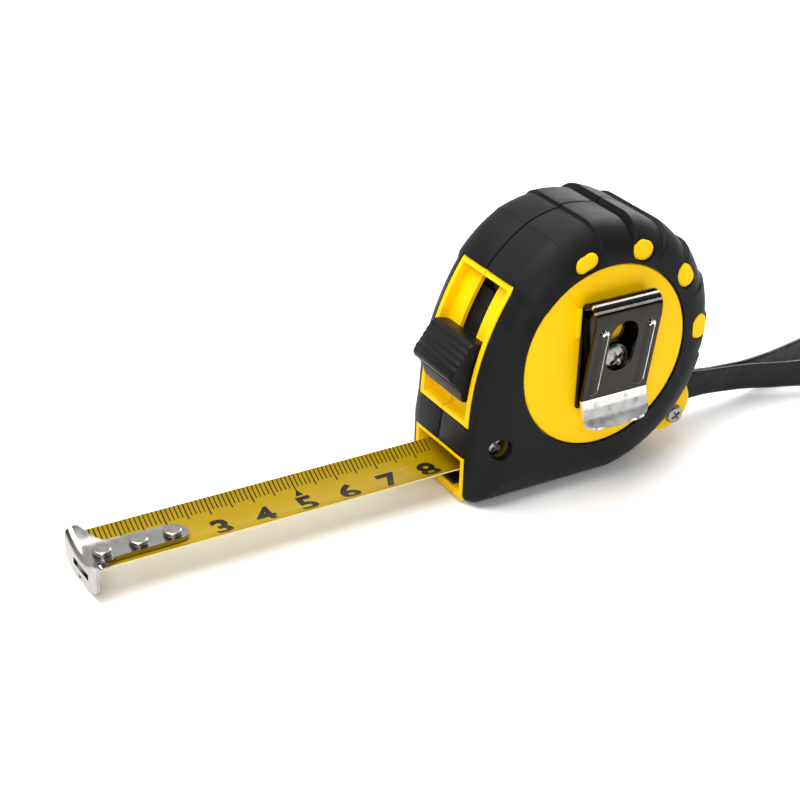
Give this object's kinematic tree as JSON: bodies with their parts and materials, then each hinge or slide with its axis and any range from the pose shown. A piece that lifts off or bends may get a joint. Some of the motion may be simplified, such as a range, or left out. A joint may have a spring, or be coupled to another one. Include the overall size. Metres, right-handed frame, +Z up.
{
  "type": "tape measure",
  "caption": "Pocket tape measure with a rubber-covered round case, steel blade pulled part way out, thumb lock, belt clip and a looped wrist strap.",
  "frame": {"origin": "on the flat base of the case, straight below the axis of the reel", "axes": "+Z up; the blade pays out along -X; the belt clip is on the -Y side"},
  "size_m": [0.2552, 0.0373, 0.0614],
  "materials": {
    "yellow_plastic": "satin yellow moulded plastic",
    "black_rubber": "soft matt-satin black rubber",
    "black_plastic": "satin black moulded plastic",
    "grey_plastic": "dark grey moulded plastic",
    "printed_blade": "yellow lacquered steel with a black printed scale",
    "hook_steel": "bright pressed stainless steel",
    "bright_steel": "bright plated steel",
    "dark_nickel": "polished dark nickel plate",
    "spring_steel": "blued spring steel",
    "brake_rubber": "dark friction pad",
    "black_webbing": "smooth black nylon webbing"
  },
  "bodies": {
    "case": {"case_shell_clip_side": "yellow_plastic", "case_shell_plain_side": "yellow_plastic", "rubber_grip_clip_side": "black_rubber", "rubber_grip_plain_side": "black_rubber", "mouth_bumper": "black_rubber", "reel_post": "bright_steel", "blade_lead": "printed_blade", "belt_clip_back_leg": "dark_nickel", "clip_screw": "bright_steel", "front_case_screw": "bright_steel", "lug_screw": "bright_steel", "strap_end": "black_webbing", "wrist_strap": "black_webbing"},
    "blade": {"tape_blade": "printed_blade", "hook_rivet_1": "bright_steel", "hook_rivet_2": "bright_steel", "hook_rivet_3": "bright_steel"},
    "hook": {"end_hook": "hook_steel"},
    "reel": {"reel_hub": "grey_plastic", "wound_blade": "printed_blade", "reel_flange_clip_side": "grey_plastic", "reel_flange_plain_side": "grey_plastic", "mainspring": "spring_steel"},
    "lock": {"thumb_lock": "black_plastic", "lock_tongue": "black_plastic", "brake_pad": "brake_rubber"},
    "clip_leaf": {"belt_clip_leaf": "dark_nickel"}
  },
  "joints": [
    {"name": "blade_pull", "type": "slide", "parent": "case", "child": "blade", "axis": [-1, 0, 0], "range_m": [-0.0825, 0], "deforming": ["tape_blade", "blade_lead"]},
    {"name": "hook_play", "type": "slide", "parent": "blade", "child": "hook", "axis": [-1, 0, 0], "range_m": [-0.0004, 0.0004]},
    {"name": "reel_spin", "type": "hinge", "parent": "case", "child": "reel", "pos_m": [0, 0, 0.0316], "axis": [0, 1, 0], "range_deg": [-281, 1]},
    {"name": "lock_slide", "type": "hinge", "parent": "case", "child": "lock", "pos_m": [0.0262, 0, 0.0176], "axis": [0, 1, 0], "range_deg": [0, 5.5]},
    {"name": "clip_flex", "type": "hinge", "parent": "case", "child": "clip_leaf", "pos_m": [0.0012, -0.0186, 0.0462], "axis": [-1, 0, 0], "range_deg": [0, 8], "stiffness_Nm_per_rad": 2}
  ],
  "couplings": [
    {"joint": "reel_spin", "follows": "blade_pull", "rad_per_m": 58.8}
  ]
}
